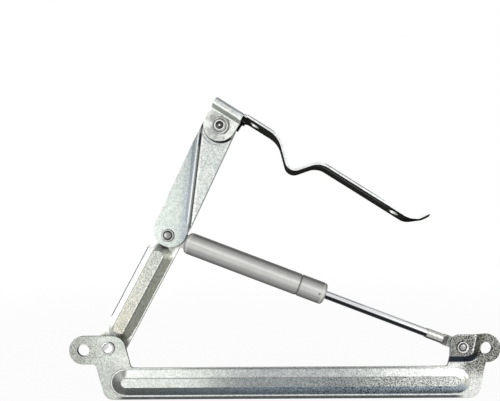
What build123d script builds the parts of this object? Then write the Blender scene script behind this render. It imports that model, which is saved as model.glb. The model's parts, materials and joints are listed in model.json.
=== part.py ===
from build123d import *
import math
import os

os.makedirs("parts", exist_ok=True)

# Gas-sprung lid support, drawn in its open position. Sizes are millimetres and degrees.
# X runs along the base rail from the arm's pivot to the spring's pivot, Z is up, and -Y faces
# the person who looks at the pressed side. The origin is midway between the two mounting holes,
# on the back of the base rail. Heights below are measured from that back, towards -Y.

# Sheet and stacking. A cut runs past the faces it opens by over.
sheet = 2.5
run_gap = 0.05
face_gap = 0.1
over = 1.0
touch = 0.01
rim_margin = 0.2
washer_thick = 0.4
tab_thick = 3.5

press_round = 0.9
rim_round = 0.35

# Base rail
hole_spacing = 403.0
mount_hole_radius = 6.0
ear_half = 14.2
ear_corner = 14.0
ear_lower_corner = 12.8
left_ear_reach = 41.8
left_ear_lean = 5.5
left_shoulder_corner = 13.0
left_heel_corner = 4.0
left_inner_corner = 4.0
right_ear_reach = 36.9
right_ear_lean = 1.0
right_shoulder_corner = 9.5
right_heel_corner = 1.6
right_inner_corner = 3.0
rail_top = -18.0
rail_bottom = -49.6
rail_left_inset = 22.1
rail_right_inset = 7.9
left_neck = 11.9
right_neck = 0.4
rail_corner_left = 10.0
rail_corner_right = 12.0
bead_height = 3.0
bead_half = 12.2
bead_floor_half = 4.4
bead_end_run = 10.3
bead_left_margin = 6.3
bead_right_margin = 9.1
bead_middle = -32.4

# Raised boss round the spring's lower pivot
boss_raise = 3.5
boss_foot_drop = 16.9
boss_floor_drop = 8.5
boss_foot_reach = 17.4
boss_foot_lean = 10.5
boss_floor_reach = 8.7
boss_floor_lean = 6.2
boss_foot_corner = 14.0
boss_floor_corner = 7.0

# Pivots
pivot_height = 2.0
arm_pivot_inset = 25.0
spring_pivot_inset = 25.2
lower_arm_length = 127.6
lower_arm_angle = 61.8
upper_arm_length = 121.9
upper_arm_angle = 64.6
strip_angle = -32.4

# Lower arm
lower_arm_half = 14.7
rib_height = 3.8
rib_half = 13.2
rib_floor_half = 6.0
rib_start = 8.6
rib_end_margin = 11.2

# Upper arm
upper_arm_half = 16.9
upper_heel_shift = 5.8
upper_tip_trim = 1.0
fold_rim_exit = 12.8
fold_rim_corner = 22.0
fold_rim_drop = -9.3
fold_rim_far = 96.0
fold_foot_exit = 18.0
fold_foot_corner = 24.0
fold_foot_drop = -13.7
fold_foot_far = 117.0
fold_far = 170.0
fold_corner = 6.0

# Lid bracket
web_half = 16.1
web_joggle = 5.0
web_joggle_start = 10.5
web_joggle_run = 3.6
web_bend = 1.5
flange_top = 22.8
flange_bend = 3.5
strip_width = 30.0
strip_flat = 57.5
dip_fall_run = 26.5
dip_rise_run = 20.0
dip_depth = 24.8
upturn_run = 10.5
upturn_angle = 54.0
strip_length = 226.0
dip_shoulder_bend = 26.0
dip_valley_bend = 8.0
dip_exit_bend = 19.0
upturn_bend = 14.0
strip_hole_radius = 5.2
strip_hole_near = 28.2
strip_hole_setback = 29.9
notch_width = 3.6
notch_depth = 4.0
dish_radius = 8.8
dish_depth = 0.7
rear_ear_half = 13.8
rear_ear_drop = 14.5
rear_ear_corner = 5.0
rear_ear_fillet = 6.0

# Rivets
tube_rivet_radius = 5.4
tube_rivet_bore = 4.6
tube_flange_radius = 6.45
tube_roll_radius = 1.03
rivet_flange = 1.2
knee_shank = 4.5
knee_head = 6.4
knee_dome = 4.1
top_shank = 3.6
top_head = 5.3
top_dome = 3.1
top_rise = 1.4
foot_shank = 4.0
foot_head = 5.9
foot_dome = 3.7
washer_rim = 3.0
spacer_wall = 2.6
spacer_gap = 0.4

# Profile of a rolled rivet head, as shares of its radius or of its rise
ring_outer = 0.92
ring_inner = 0.8
ring_foot = 0.55
dome_crown = 0.8
dome_valley = 0.35
dome_gap = 0.4
heel_flat = 0.85
heel_bevel = 0.4

# Gas spring
barrel_radius = 11.2
barrel_wall = 1.5
barrel_start = 18.8
barrel_length = 149.3
barrel_tail_round = 4.5
barrel_nose_round = 3.2
nose_gap = 1.2
groove_setback = 27.8
groove_depth = 0.6
groove_half = 1.0
rod_radius = 4.25
rod_clearance = 0.05
eye_radius = 10.5
eye_bush_wall = 1.3
neck_wide = 9.2
neck_narrow = 7.4
tail_opening = 5.0
plug_length = 6.0
seal_length = 6.0
seal_washer_length = 3.0
piston_length = 9.0
piston_gap = 3.0
piston_spigot = 3.0
spigot_head = 5.0
spigot_head_length = 2.0
ring_length = 2.4
ring_depth = 1.6
blade_reach = 15.5
sleeve_length = 20.5
sleeve_neck = 4.0
sleeve_radius = 4.9
rod_grip = 12.0
blade_half = 5.5
blade_round = 0.8
blade_end_radius = 7.0

# Heights of each layer towards the viewer, from the back of the base rail
tab_front = -(washer_thick+2*run_gap)
tab_back = tab_front-tab_thick
spring_height = (tab_front+tab_back)/2
arm_front = tab_back-(washer_thick+2*run_gap)
arm_back = arm_front-sheet
panel_front = -(washer_thick+2*run_gap)
panel_back = panel_front-sheet

# Pivot points in the XZ plane
foot_pivot = (-hole_spacing/2+arm_pivot_inset, pivot_height)
spring_pivot = (hole_spacing/2-spring_pivot_inset, pivot_height)


def along(start, length, angle):
    turn = math.radians(angle)
    return (start[0]+length*math.cos(turn), start[1]+length*math.sin(turn))


knee_pivot = along(foot_pivot, lower_arm_length, lower_arm_angle)
top_pivot = along(knee_pivot, upper_arm_length, upper_arm_angle)
spring_run = (spring_pivot[0]-knee_pivot[0], spring_pivot[1]-knee_pivot[1])
spring_length = math.hypot(*spring_run)
spring_angle = math.degrees(math.atan2(spring_run[1], spring_run[0]))


def front_frame(pivot, angle):
    """Frame with x along the piece, y to its left and z towards the viewer."""
    turn = math.radians(angle)
    return Plane(origin=(pivot[0], 0, pivot[1]),
                 x_dir=(math.cos(turn), 0, math.sin(turn)), z_dir=(0, -1, 0))


def place(solid, pivot, angle=0.0):
    return front_frame(pivot, angle).location*solid


def slab(face, low, high):
    """Face in the XY plane made a solid between two heights."""
    return extrude(Pos(0, 0, low)*face, amount=high-low)


def disc(radius, low, high, x=0.0, y=0.0):
    return slab(Pos(x, y)*Circle(radius), low, high)


def ring(outer, inner, low, high):
    return disc(outer, low, high)-disc(inner, low, high)


def outline(points):
    """Closed face through corners (x, y, radius), each corner rounded to its radius."""
    corners = [(x, y) for x, y, _ in points]
    return make_face(FilletPolyline(*corners, radius=[radius for _, _, radius in points], close=True))


def slot(start, end, half):
    """Round-ended face along x between two outer ends."""
    middle = (start+end)/2
    return Pos(middle, 0)*SlotOverall(end-start, 2*half)


def bent_sheet(points, bends, thickness):
    """Section of a bent sheet: points lie on its left side, bends are inside radii."""
    steps = []
    for (x0, y0), (x1, y1) in zip(points, points[1:]):
        length = math.hypot(x1-x0, y1-y0)
        steps.append(((x1-x0)/length, (y1-y0)/length))
    other = []
    left_radii = []
    right_radii = []
    for index, (x, y) in enumerate(points):
        before = steps[max(index-1, 0)]
        after = steps[min(index, len(steps)-1)]
        share = thickness/(1+before[0]*after[0]+before[1]*after[1])
        other.append((x+(before[1]+after[1])*share, y-(before[0]+after[0])*share))
        if 0 < index < len(points)-1:
            inside = bends[index-1]
            turns_left = before[0]*after[1]-before[1]*after[0] > 0
            left_radii.append(inside if turns_left else inside+thickness)
            right_radii.append(inside+thickness if turns_left else inside)
    near = FilletPolyline(*points, radius=left_radii)
    far = FilletPolyline(*other, radius=right_radii)
    return make_face([near, far, Line(points[0], other[0]), Line(points[-1], other[-1])])


def pressed(foot, floor, low, rise):
    """Solid raised from a foot outline to a floor outline, as a punch leaves it."""
    return loft([Pos(0, 0, low)*foot, Pos(0, 0, low+rise)*floor], ruled=True)


def soften(solid, height, region, radius, rim=None):
    """Round the edges that lie flat at a height over a region, but for those along a blank's rim."""
    edges = []
    for edge in solid.edges():
        box = edge.bounding_box()
        if max(abs(box.min.Z-height), abs(box.max.Z-height)) > touch:
            continue
        middle = edge @ 0.5
        spot = Vector(middle.X, middle.Y, 0)
        if region.distance_to(spot) > touch:
            continue
        if rim and rim.face().outer_wire().distance_to(spot) < rim_margin:
            continue
        edges.append(edge)
    return fillet(edges, radius)


def break_rim(solid, heights, rim, radius):
    """Round the edges that a blank's rim leaves at each height, as a worn punch does."""
    edges = []
    for edge in solid.edges():
        middle = edge @ 0.5
        spot = Vector(middle.X, middle.Y, 0)
        level = min(abs(middle.Z-height) for height in heights)
        if level < touch and rim.face().outer_wire().distance_to(spot) < touch:
            edges.append(edge)
    return fillet(edges, radius)


def rivet(shank, head, dome, front, back, rise, heel=rivet_flange):
    """Solid rivet: a rolled ring round a low dome in front, and a flat head behind where it has a heel."""
    crown = front+dome_crown*rise
    valley = front+dome_valley*rise
    ball = (dome**2+(crown-valley)**2)/(2*(crown-valley))
    tail = [(0, back)]
    if heel:
        tail = [(0, back-heel), (heel_flat*head, back-heel), (head, back-heel*(1-heel_bevel)), (head, back)]
    section = make_face([
        Polyline((0, crown), *tail, (shank, back), (shank, front), (head, front),
                 (head, front+ring_foot*rise), (ring_outer*head, front+rise),
                 (ring_inner*head, front+rise), (dome+dome_gap, valley), (dome, valley)),
        RadiusArc((0, crown), (dome, valley), ball),
    ])
    return revolve(Plane.XZ*section, axis=Axis.Z)


def export(name, solid):
    solid.label = name
    export_step(solid, "parts/"+name+".step")


# Base rail: one pressed strip with an ear at each end and a long stiffening bead
half_spacing = hole_spacing/2
left_hole = -half_spacing
right_hole = half_spacing
left_side = left_hole+left_ear_reach
right_side = right_hole-right_ear_reach
blank = outline([
    (left_hole-ear_half, ear_half, ear_corner),
    (left_side-left_ear_lean/2, ear_half, left_shoulder_corner),
    (left_side+left_ear_lean, rail_top, left_inner_corner),
    (right_side-right_ear_lean, rail_top, right_inner_corner),
    (right_side, ear_half, right_shoulder_corner),
    (right_hole+ear_half, ear_half, ear_corner),
    (right_hole+ear_half, -ear_half, ear_lower_corner),
    (right_hole-right_neck, -ear_half, right_heel_corner),
    (right_hole-rail_right_inset, rail_bottom, rail_corner_right),
    (left_hole+rail_left_inset, rail_bottom, rail_corner_left),
    (left_hole+left_neck, -ear_half, left_heel_corner),
    (left_hole-ear_half, -ear_half, ear_corner),
])
bead_left = left_hole+rail_left_inset+bead_left_margin
bead_right = right_hole-rail_right_inset-bead_right_margin
bead_foot = Pos(0, bead_middle)*slot(bead_left, bead_right, bead_half)
bead_floor = Pos(0, bead_middle)*slot(bead_left+bead_end_run, bead_right-bead_end_run, bead_floor_half)
spring_x, spring_z = spring_pivot
far_left = right_side-2*ear_half
far_top = 2*ear_half
boss_foot = outline([
    (far_left, spring_z-boss_foot_drop, 0),
    (spring_x+boss_foot_reach, spring_z-boss_foot_drop, boss_foot_corner),
    (spring_x+boss_foot_reach+boss_foot_lean, far_top, 0),
    (far_left, far_top, 0),
])
boss_floor = outline([
    (far_left, spring_z-boss_floor_drop, 0),
    (spring_x+boss_floor_reach, spring_z-boss_floor_drop, boss_floor_corner),
    (spring_x+boss_floor_reach+boss_floor_lean, far_top, 0),
    (far_left, far_top, 0),
])
full_depth = slab(blank, 0, sheet+boss_raise)
base = slab(blank, 0, sheet)+pressed(bead_foot, bead_floor, sheet, bead_height)
base += pressed(boss_foot, boss_floor, sheet, boss_raise) & full_depth
base -= pressed(bead_foot, bead_floor, 0, bead_height)
base -= pressed(boss_foot, boss_floor, 0, boss_raise)
base = soften(base, sheet+bead_height, bead_floor, press_round)
base = soften(base, sheet, bead_foot, press_round)
base = soften(base, 0, bead_foot, press_round)
base = soften(base, bead_height, bead_floor, press_round)
base = soften(base, sheet+boss_raise, boss_floor, press_round, blank)
base = soften(base, sheet, boss_foot, press_round, blank)
base = soften(base, 0, boss_foot, press_round, blank)
base = soften(base, boss_raise, boss_floor, press_round, blank)
base = break_rim(base, (0, sheet), blank, rim_round)
for x in (left_hole, right_hole):
    base -= disc(mount_hole_radius, -over, sheet+over, x)
base -= disc(tube_rivet_radius, -over, sheet+over, *foot_pivot)
base -= disc(foot_shank, -over, sheet+boss_raise+over, *spring_pivot)
export("base_rail", place(base, (0, 0)))

# Tubular rivet, spacer and rear washer of the lower arm's pivot
spacer_back = arm_front+face_gap
rear_washer_front = arm_back-run_gap
rear_washer_back = rear_washer_front-washer_thick
tube_back = rear_washer_back-run_gap
roll = rivet_flange/2
tube_section = make_face([
    Line((tube_rivet_bore, tube_back-rivet_flange+roll), (tube_rivet_bore, sheet+rivet_flange-roll)),
    RadiusArc((tube_rivet_bore, sheet+rivet_flange-roll),
              (tube_flange_radius, sheet+rivet_flange-roll), tube_roll_radius),
    Line((tube_flange_radius, sheet+rivet_flange-roll), (tube_flange_radius, sheet)),
    Line((tube_flange_radius, sheet), (tube_rivet_radius, sheet)),
    Line((tube_rivet_radius, sheet), (tube_rivet_radius, tube_back)),
    Line((tube_rivet_radius, tube_back), (tube_flange_radius, tube_back)),
    Line((tube_flange_radius, tube_back), (tube_flange_radius, tube_back-rivet_flange+roll)),
    RadiusArc((tube_flange_radius, tube_back-rivet_flange+roll),
              (tube_rivet_bore, tube_back-rivet_flange+roll), tube_roll_radius),
])
tube_rivet = revolve(Plane.XZ*tube_section, axis=Axis.Z)
export("arm_tube_rivet", place(tube_rivet, foot_pivot))
arm_spacer = ring(tube_rivet_radius+spacer_wall, tube_rivet_radius, spacer_back, 0)
export("arm_spacer", place(arm_spacer, foot_pivot))
tube_hole = tube_rivet_radius+run_gap
arm_washer = ring(tube_rivet_radius+washer_rim, tube_hole, rear_washer_back, rear_washer_front)
export("arm_rear_washer", place(arm_washer, foot_pivot))

# Lower arm: a straight link with one long raised rib
rib_end = lower_arm_length-rib_end_margin
rib_run = rib_half-rib_floor_half
rib_foot = slot(rib_start, rib_end, rib_half)
rib_floor = slot(rib_start+rib_run, rib_end-rib_run, rib_floor_half)
lower_blank = slot(-lower_arm_half, lower_arm_length+lower_arm_half, lower_arm_half)
lower_arm = slab(lower_blank, arm_back, arm_front)+pressed(rib_foot, rib_floor, arm_front, rib_height)
lower_arm -= pressed(rib_foot, rib_floor, arm_back, rib_height)
lower_arm = soften(lower_arm, arm_front+rib_height, rib_floor, press_round)
lower_arm = soften(lower_arm, arm_front, rib_foot, press_round)
lower_arm = soften(lower_arm, arm_back, rib_foot, press_round)
lower_arm = soften(lower_arm, arm_back+rib_height, rib_floor, press_round)
lower_arm = break_rim(lower_arm, (arm_back, arm_front), lower_blank, rim_round)
lower_arm -= disc(tube_hole, arm_back-over, arm_front+over)
lower_arm -= disc(knee_shank, arm_back-over, arm_front+over, lower_arm_length)
export("lower_arm", place(lower_arm, foot_pivot, lower_arm_angle))

# Upper arm: a wide link whose right-hand part is pressed back by a sheet along a diagonal fold
arm_end = upper_arm_length+upper_arm_half-upper_tip_trim
upper_blank = slot(upper_heel_shift-upper_arm_half, arm_end, upper_arm_half)
fold_side = 2*upper_arm_half
step_top = outline([
    (fold_rim_exit, -fold_side, 0), (fold_rim_exit, -upper_arm_half, 0),
    (fold_rim_corner, fold_rim_drop, fold_corner), (fold_rim_far, upper_arm_half, 0),
    (fold_rim_far, fold_side, 0), (fold_far, fold_side, 0), (fold_far, -fold_side, 0),
])
step_floor = outline([
    (fold_foot_exit, -fold_side, 0), (fold_foot_exit, -upper_arm_half, 0),
    (fold_foot_corner, fold_foot_drop, fold_corner), (fold_foot_far, upper_arm_half, 0),
    (fold_foot_far, fold_side, 0), (fold_far, fold_side, 0), (fold_far, -fold_side, 0),
])
arm_prism = slab(upper_blank, panel_back-over, sheet+over)
upper_arm = slab(upper_blank, 0, sheet)
upper_arm += pressed(step_top, step_floor, 0, panel_back) & arm_prism
upper_arm -= pressed(step_top, step_floor, sheet, panel_back)
upper_arm = soften(upper_arm, sheet, step_top, press_round, upper_blank)
upper_arm = soften(upper_arm, panel_front, step_floor, press_round, upper_blank)
upper_arm = soften(upper_arm, 0, step_top, press_round, upper_blank)
upper_arm = soften(upper_arm, panel_back, step_floor, press_round, upper_blank)
upper_arm -= disc(knee_shank+run_gap, -over, sheet+over)
upper_arm -= disc(top_shank, panel_back-over, sheet+over, upper_arm_length)
export("upper_arm", place(upper_arm, knee_pivot, upper_arm_angle))

# Lid bracket: a U whose front leg is the joggled pivot web and whose rear leg is a short ear, and the
# screw strip that runs on from the U's top, with its cradle dip and upturned end
strip_front = sheet+web_joggle
strip_back = strip_front-strip_width
strip_middle = (strip_front+strip_back)/2
ear_end = flange_top-rear_ear_drop
bow_section = bent_sheet(
    [(-web_half-over, sheet), (web_joggle_start, sheet), (web_joggle_start+web_joggle_run, strip_front),
     (flange_top, strip_front), (flange_top, strip_back), (ear_end, strip_back)],
    [web_bend, web_bend, flange_bend, flange_bend], sheet)
bow_plane = Plane(origin=(-web_half, 0, 0), x_dir=(0, 1, 0), z_dir=(1, 0, 0))
bow = extrude(bow_plane.location*bow_section, amount=2*web_half)
web_outline = Circle(web_half)+Pos(0, flange_top/2)*Rectangle(2*web_half, flange_top)
underside = flange_top-sheet
ear_root = underside-flange_bend
ear_outline = outline([
    (-web_half, flange_top, 0), (-web_half, ear_root, 0), (-rear_ear_half, ear_root, 0),
    (-rear_ear_half, ear_end, rear_ear_corner), (rear_ear_half, ear_end, rear_ear_corner),
    (rear_ear_half, ear_root, 0), (web_half, ear_root, 0), (web_half, flange_top, 0),
])
bow &= slab(web_outline, strip_middle, strip_front+over)+slab(ear_outline, strip_back-over, strip_middle)
fillet_foot = underside-2*rear_ear_fillet
fillet_far = rear_ear_half+2*rear_ear_fillet
ear_fillet = outline([
    (rear_ear_half-sheet, fillet_foot, 0), (rear_ear_half, fillet_foot, 0),
    (rear_ear_half, underside, rear_ear_fillet), (fillet_far, underside, 0),
    (fillet_far, underside+sheet/2, 0), (rear_ear_half-sheet, underside+sheet/2, 0),
])
dip_bottom = strip_flat+dip_fall_run
dip_end = dip_bottom+dip_rise_run
upturn_start = strip_length-upturn_run
tip_rise = upturn_run*math.tan(math.radians(upturn_angle))
strip_section = bent_sheet(
    [(web_half, flange_top), (strip_flat, flange_top), (dip_bottom, flange_top-dip_depth),
     (dip_end, flange_top), (upturn_start, flange_top), (strip_length, flange_top+tip_rise)],
    [dip_shoulder_bend, dip_valley_bend, dip_exit_bend, upturn_bend], sheet)
strip = slab(strip_section, strip_back, strip_front)+slab(ear_fillet, strip_back, strip_back+sheet)
plan = Plane(origin=(0, flange_top-dip_depth-2*sheet, 0), x_dir=(1, 0, 0), z_dir=(0, 1, 0))
tip_outline = Pos(0, -strip_middle)*slot(-strip_width, strip_length+sheet, strip_width/2)
strip &= extrude(plan.location*tip_outline, amount=dip_depth+2*sheet+2*tip_rise)
bracket = bow+strip
notch_box = Box(notch_width, 4*sheet, notch_depth+over, align=(Align.MIN, Align.CENTER, Align.MAX))
bracket -= Pos(web_half, flange_top, strip_front+over)*notch_box
for reach in (strip_hole_near, strip_length-strip_hole_setback):
    bracket -= Pos(reach, flange_top, strip_middle)*Rot(90, 0, 0)*Cylinder(strip_hole_radius, 4*sheet)
bracket -= disc(top_shank+run_gap, -over, sheet+over)
dish = Cone(dish_radius-dish_depth, dish_radius, dish_depth, align=(Align.CENTER, Align.CENTER, Align.MAX))
bracket -= Pos(0, 0, sheet)*dish
export("lid_bracket", place(bracket, top_pivot, strip_angle))

# Knee rivet with the washers that part the upper arm, the spring's eye and the lower arm
knee_rivet = rivet(knee_shank, knee_head, knee_dome, sheet+face_gap, arm_back, rivet_flange)
export("knee_rivet", place(knee_rivet, knee_pivot))
front_washer = ring(knee_shank+washer_rim, knee_shank+run_gap, -run_gap-washer_thick, -run_gap)
export("knee_front_washer", place(front_washer, knee_pivot))
knee_washer_top = tab_back-run_gap
rear_washer = ring(knee_shank+washer_rim, knee_shank+run_gap, knee_washer_top-washer_thick, knee_washer_top)
export("knee_rear_washer", place(rear_washer, knee_pivot))

# Top rivet and its washer
dish_floor = sheet-dish_depth
top_rivet = rivet(top_shank, top_head, top_dome, dish_floor+face_gap, panel_back, top_rise)
export("top_rivet", place(top_rivet, top_pivot))
top_washer = ring(top_shank+washer_rim, top_shank+run_gap, -run_gap-washer_thick, -run_gap)
export("top_washer", place(top_washer, top_pivot))

# Spring's lower pivot: the front rivet and spacer belong to the base, the rear pin to the rod end
boss_front = sheet+boss_raise
spacer_end = tab_front+spacer_gap
foot_rivet = rivet(foot_shank, foot_head, foot_dome, boss_front, spacer_end, rivet_flange, heel=0)
export("spring_rivet", place(foot_rivet, spring_pivot))
foot_spacer = ring(foot_shank+washer_rim, foot_shank, spacer_end, boss_raise)
export("spring_spacer", place(foot_spacer, spring_pivot))
foot_washer_back = tab_back-2*washer_thick
foot_pin = disc(foot_shank, foot_washer_back, tab_front)
foot_pin += disc(foot_head, foot_washer_back-rivet_flange, foot_washer_back)
export("rod_eye_pin", place(foot_pin, spring_pivot))
foot_washer = ring(foot_shank+washer_rim, foot_shank, foot_washer_back, tab_back)
export("rod_eye_washer", place(foot_washer, spring_pivot))

# Gas spring: turned pieces are drawn along z from the knee pivot, with x towards the viewer
spring_turn = math.radians(spring_angle)
spring_frame = Plane(origin=(knee_pivot[0], -spring_height, knee_pivot[1]),
                     x_dir=(0, -1, 0), z_dir=(math.cos(spring_turn), 0, math.sin(spring_turn)))


def turned(edges):
    """Solid of revolution about the spring's axis, from a closed (radius, position) section."""
    return spring_frame.location*revolve(Plane.XZ*make_face(edges), axis=Axis.Z)


def collar(outer, hole, start, end):
    corners = [(hole, start), (outer, start), (outer, end), (hole, end)]
    return turned(Polyline(*corners, close=True))


inner = barrel_radius-barrel_wall
inner_round = barrel_tail_round-barrel_wall
tail_flat = barrel_radius-barrel_tail_round
nose_lip = rod_radius+nose_gap
barrel_end = barrel_start+barrel_length
groove_position = barrel_end-groove_setback
groove_near = groove_position-groove_half
groove_far = groove_position+groove_half
nose_inside = barrel_end-barrel_wall
barrel = turned([
    Line((tail_opening, barrel_start), (tail_flat, barrel_start)),
    RadiusArc((tail_flat, barrel_start), (barrel_radius, barrel_start+barrel_tail_round),
              -barrel_tail_round),
    Line((barrel_radius, barrel_start+barrel_tail_round), (barrel_radius, groove_near)),
    ThreePointArc((barrel_radius, groove_near), (barrel_radius-groove_depth, groove_position),
                  (barrel_radius, groove_far)),
    Line((barrel_radius, groove_far), (barrel_radius, barrel_end-barrel_nose_round)),
    RadiusArc((barrel_radius, barrel_end-barrel_nose_round), (barrel_radius-barrel_nose_round, barrel_end),
              -barrel_nose_round),
    Line((barrel_radius-barrel_nose_round, barrel_end), (nose_lip, barrel_end)),
    Line((nose_lip, barrel_end), (nose_lip, nose_inside)),
    Line((nose_lip, nose_inside), (inner, nose_inside)),
    Line((inner, nose_inside), (inner, groove_far)),
    ThreePointArc((inner, groove_far), (inner-groove_depth, groove_position), (inner, groove_near)),
    Line((inner, groove_near), (inner, barrel_start+barrel_tail_round)),
    RadiusArc((inner, barrel_start+barrel_tail_round), (tail_flat, barrel_start+barrel_wall), inner_round),
    Line((tail_flat, barrel_start+barrel_wall), (tail_opening, barrel_start+barrel_wall)),
    Line((tail_opening, barrel_start+barrel_wall), (tail_opening, barrel_start)),
])
export("spring_barrel", barrel)

# Tail eye: a stepped plug welded in the barrel's end, flattened outside into a tab with an eye
plug_start = barrel_start+barrel_wall
plug_end = barrel_start+barrel_tail_round+plug_length
plug = turned(Polyline(
    (0, barrel_start), (tail_opening, barrel_start), (tail_opening, plug_start), (tail_flat, plug_start),
    (tail_flat, barrel_start+barrel_tail_round), (inner, barrel_start+barrel_tail_round),
    (inner, plug_end), (0, plug_end), close=True))
bush_radius = knee_shank+run_gap+eye_bush_wall
neck = make_face(Polyline((0, -neck_wide), (barrel_start, -neck_narrow), (barrel_start, neck_narrow),
                          (0, neck_wide), close=True))
tab = slab(Circle(eye_radius)+neck-Circle(bush_radius), tab_back, tab_front)
tail_eye = place(tab, knee_pivot, spring_angle)+plug
export("spring_tail_eye", tail_eye)
eye_bush = ring(bush_radius, knee_shank+run_gap, tab_back, tab_front)
export("tail_eye_bush", place(eye_bush, knee_pivot))

# Rod guide, seal and seal washer, held between the nose and the rolled groove
rod_bore = rod_radius+rod_clearance
seal_start = groove_far+seal_washer_length
guide_start = seal_start+seal_length
export("rod_guide", collar(inner, rod_bore, guide_start, nose_inside))
export("rod_seal", collar(inner, rod_bore, seal_start, guide_start))
export("seal_washer", collar(inner, rod_bore, groove_far, seal_start))

# Piston rod with its piston, piston ring and nut, fully drawn out
sleeve_end = spring_length-blade_reach
sleeve_start = sleeve_end-sleeve_length
piston_end = groove_near-piston_gap
piston_start = piston_end-piston_length
nut_start = piston_start-spigot_head_length
rod_end = sleeve_start+rod_grip
rod = turned(Polyline(
    (0, nut_start), (piston_spigot, nut_start), (piston_spigot, piston_end), (rod_radius, piston_end),
    (rod_radius, rod_end), (0, rod_end), close=True))
export("piston_rod", rod)
piston_radius = inner-2*rod_clearance
ring_start = (piston_start+piston_end-ring_length)/2
ring_end = ring_start+ring_length
ring_floor = piston_radius-ring_depth
piston = turned(Polyline(
    (piston_spigot, piston_start), (piston_radius, piston_start), (piston_radius, ring_start),
    (ring_floor, ring_start), (ring_floor, ring_end), (piston_radius, ring_end),
    (piston_radius, piston_end), (piston_spigot, piston_end), close=True))
export("piston", piston)
export("piston_ring", collar(inner-rod_clearance, ring_floor, ring_start, ring_end))
export("piston_nut", collar(spigot_head, piston_spigot, nut_start, piston_start))

# Rod end: a sleeve crimped on the rod, flattened into a blade that carries the lower eye
sleeve_square = sleeve_end-sleeve_neck
sleeve = turned(Polyline(
    (0, rod_end), (rod_radius, rod_end), (rod_radius, sleeve_start), (sleeve_radius, sleeve_start),
    (sleeve_radius, sleeve_square), (0, sleeve_square), close=True))
neck_start = Pos(0, 0, sleeve_square)*Circle(sleeve_radius)
neck_finish = Pos(0, 0, sleeve_end)*RectangleRounded(tab_thick, 2*blade_half, blade_round)
flattened = spring_frame.location*loft([neck_start, neck_finish])
blade_outline = make_face(Polyline(
    (sleeve_end, -blade_half), (spring_length, -blade_half), (spring_length, blade_half),
    (sleeve_end, blade_half), close=True))+Pos(spring_length, 0)*Circle(blade_end_radius)
blade_outline -= Pos(spring_length, 0)*Circle(foot_shank)
blade = place(slab(blade_outline, tab_back, tab_front), knee_pivot, spring_angle)
export("rod_end", sleeve+flattened+blade)
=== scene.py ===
import json
import math

import bpy
import numpy as np
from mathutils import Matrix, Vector


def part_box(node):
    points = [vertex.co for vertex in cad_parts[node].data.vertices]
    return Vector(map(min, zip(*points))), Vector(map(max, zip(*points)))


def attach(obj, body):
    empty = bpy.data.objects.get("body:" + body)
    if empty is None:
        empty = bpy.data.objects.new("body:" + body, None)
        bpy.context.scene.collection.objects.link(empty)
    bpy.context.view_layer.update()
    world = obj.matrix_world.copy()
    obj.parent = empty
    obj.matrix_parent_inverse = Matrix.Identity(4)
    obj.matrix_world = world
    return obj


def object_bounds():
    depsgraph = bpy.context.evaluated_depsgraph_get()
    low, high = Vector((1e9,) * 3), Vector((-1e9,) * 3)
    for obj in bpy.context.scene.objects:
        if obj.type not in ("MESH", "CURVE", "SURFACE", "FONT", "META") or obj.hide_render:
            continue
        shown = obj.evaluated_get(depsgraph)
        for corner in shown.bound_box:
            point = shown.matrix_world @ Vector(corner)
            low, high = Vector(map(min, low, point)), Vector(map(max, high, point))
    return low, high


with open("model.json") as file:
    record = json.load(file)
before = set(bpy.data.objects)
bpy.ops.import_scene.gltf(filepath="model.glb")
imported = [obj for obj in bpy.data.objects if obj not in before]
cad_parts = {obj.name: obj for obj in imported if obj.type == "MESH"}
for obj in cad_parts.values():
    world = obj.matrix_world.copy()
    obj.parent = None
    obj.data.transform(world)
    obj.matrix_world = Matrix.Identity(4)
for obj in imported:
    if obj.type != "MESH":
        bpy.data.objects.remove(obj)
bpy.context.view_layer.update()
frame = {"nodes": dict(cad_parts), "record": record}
nodes = frame["nodes"]

# Base rail: one strip of 2.5 mm sheet steel, cut and pressed, bright zinc plated, and screwed down by its
# two ears. The plating is sandy, and its colour carries painted reflection and shade: pale at the left and
# in the bead, darker at the right ear, and a bluish painted shade where it faces down.
class Socket:
    """A shader value. Arithmetic on it adds the Math nodes that work it out."""

    def __init__(self, tree, link):
        self.tree = tree
        self.link = link

    def maths(self, operation, *values):
        """The result of a Math node on the given sockets and numbers."""
        node = self.tree.nodes.new("ShaderNodeMath")
        node.operation = operation
        for index, value in enumerate(values):
            if isinstance(value, Socket):
                self.tree.links.new(value.link, node.inputs[index])
            else:
                node.inputs[index].default_value = value
        return Socket(self.tree, node.outputs[0])

    def __add__(self, other):
        return self.maths("ADD", self, other)

    __radd__ = __add__

    def __sub__(self, other):
        return self.maths("SUBTRACT", self, other)

    def __rsub__(self, other):
        return self.maths("SUBTRACT", other, self)

    def __mul__(self, other):
        return self.maths("MULTIPLY", self, other)

    __rmul__ = __mul__

    def __abs__(self):
        return self.maths("ABSOLUTE", self)

    def larger(self, other):
        return self.maths("MAXIMUM", self, other)

    def ramp(self, low, high):
        """0 at low, 1 at high and smooth between, whichever of the two is larger."""
        node = self.tree.nodes.new("ShaderNodeMapRange")
        node.interpolation_type = "SMOOTHSTEP"
        self.tree.links.new(self.link, node.inputs["Value"])
        node.inputs["From Min"].default_value = min(low, high)
        node.inputs["From Max"].default_value = max(low, high)
        rise = Socket(self.tree, node.outputs[0])
        return rise if low < high else 1-rise

    def band(self, middle, half, soft):
        """1 within half of the middle, falling to 0 over soft."""
        return abs(self-middle).ramp(half+soft, half)


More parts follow.
